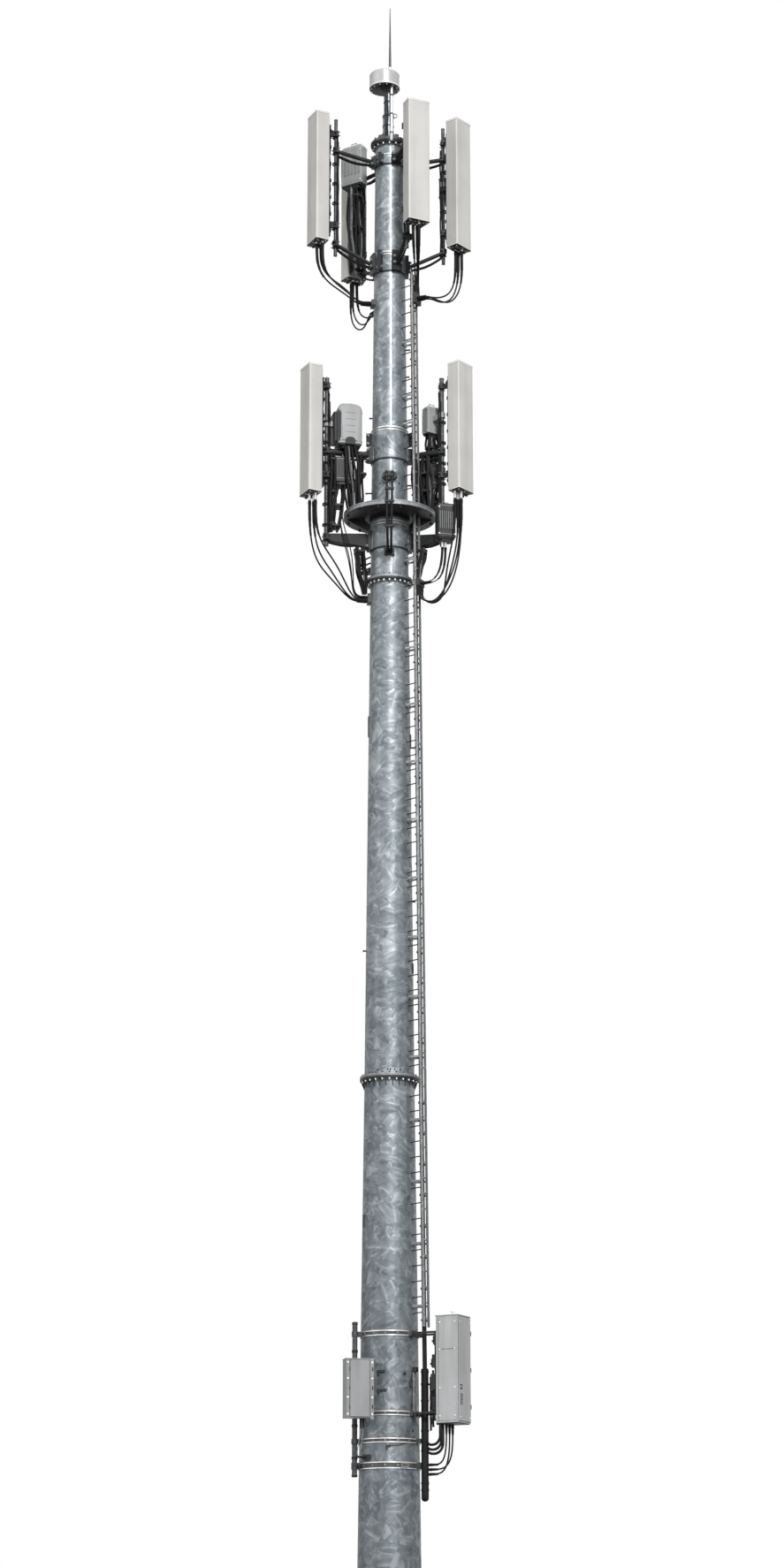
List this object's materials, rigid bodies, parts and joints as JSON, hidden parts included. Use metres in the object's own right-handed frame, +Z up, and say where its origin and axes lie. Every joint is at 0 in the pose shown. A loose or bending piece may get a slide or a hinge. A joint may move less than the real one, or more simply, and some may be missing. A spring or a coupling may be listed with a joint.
{
  "type": "monopole cell tower",
  "caption": "A tapered steel monopole with two tiers of panel antennas, radio units, a cable ladder and equipment boxes near its foot",
  "frame": {"origin": "centre of the underside of the base flange", "axes": "+Z up the pole, -Y is its front, +X to the right seen from the front"},
  "size_m": [2.8389, 2.5047, 30],
  "materials": {
    "galvanised_steel": "satin",
    "dark_steel": "satin",
    "bright_steel": "satin",
    "painted_steel": "satin",
    "painted_alloy": "satin",
    "radome": "satin",
    "cable_black": "matte"
  },
  "bodies": {
    "root": {"base_flange": "galvanised_steel", "cabinet": "painted_steel", "cabinet_cables": "cable_black", "cabinet_frames": "galvanised_steel", "cable_hood": "dark_steel", "cable_ladder_lower": "galvanised_steel", "cable_ladder_middle": "galvanised_steel", "cable_ladder_upper": "galvanised_steel", "cable_platform": "galvanised_steel", "cable_ports": "galvanised_steel", "cap_plate": "galvanised_steel", "equipment_bands": "galvanised_steel", "equipment_pipe": "galvanised_steel", "feeder_blocks": "galvanised_steel", "feeders_lower": "cable_black", "feeders_middle": "cable_black", "feeders_upper": "cable_black", "front_cables": "cable_black", "jumpers_lower_left": "cable_black", "jumpers_lower_right": "cable_black", "jumpers_upper_left": "cable_black", "jumpers_upper_right": "cable_black", "lightning_rod": "bright_steel", "lower_antenna_back": "radome", "lower_antenna_left": "radome", "lower_antenna_right": "radome", "lower_filter_left": "painted_alloy", "lower_filter_right": "painted_alloy", "lower_radio_left": "painted_alloy", "lower_radio_outer": "painted_alloy", "lower_radio_right": "painted_alloy", "lower_section": "galvanised_steel", "lower_tier_brackets": "galvanised_steel", "lower_tier_high_arms": "dark_steel", "lower_tier_high_collar": "dark_steel", "lower_tier_low_arms": "dark_steel", "lower_tier_low_collar": "dark_steel", "lower_tier_pipes": "galvanised_steel", "middle_section": "galvanised_steel", "platform_gussets": "dark_steel", "service_box": "painted_steel", "service_box_brackets": "galvanised_steel", "service_cables": "cable_black", "splice_closure": "cable_black", "top_conduit": "bright_steel", "top_drum": "radome", "top_mast": "galvanised_steel", "upper_antenna_back": "radome", "upper_antenna_front": "radome", "upper_antenna_left": "radome", "upper_antenna_right": "radome", "upper_radio_back": "painted_alloy", "upper_radio_right": "painted_alloy", "upper_section": "galvanised_steel", "upper_tier_brackets": "galvanised_steel", "upper_tier_high_arms": "dark_steel", "upper_tier_high_collar": "dark_steel", "upper_tier_low_arms": "dark_steel", "upper_tier_low_collar": "dark_steel", "upper_tier_pipes": "galvanised_steel"}
  },
  "joints": []
}
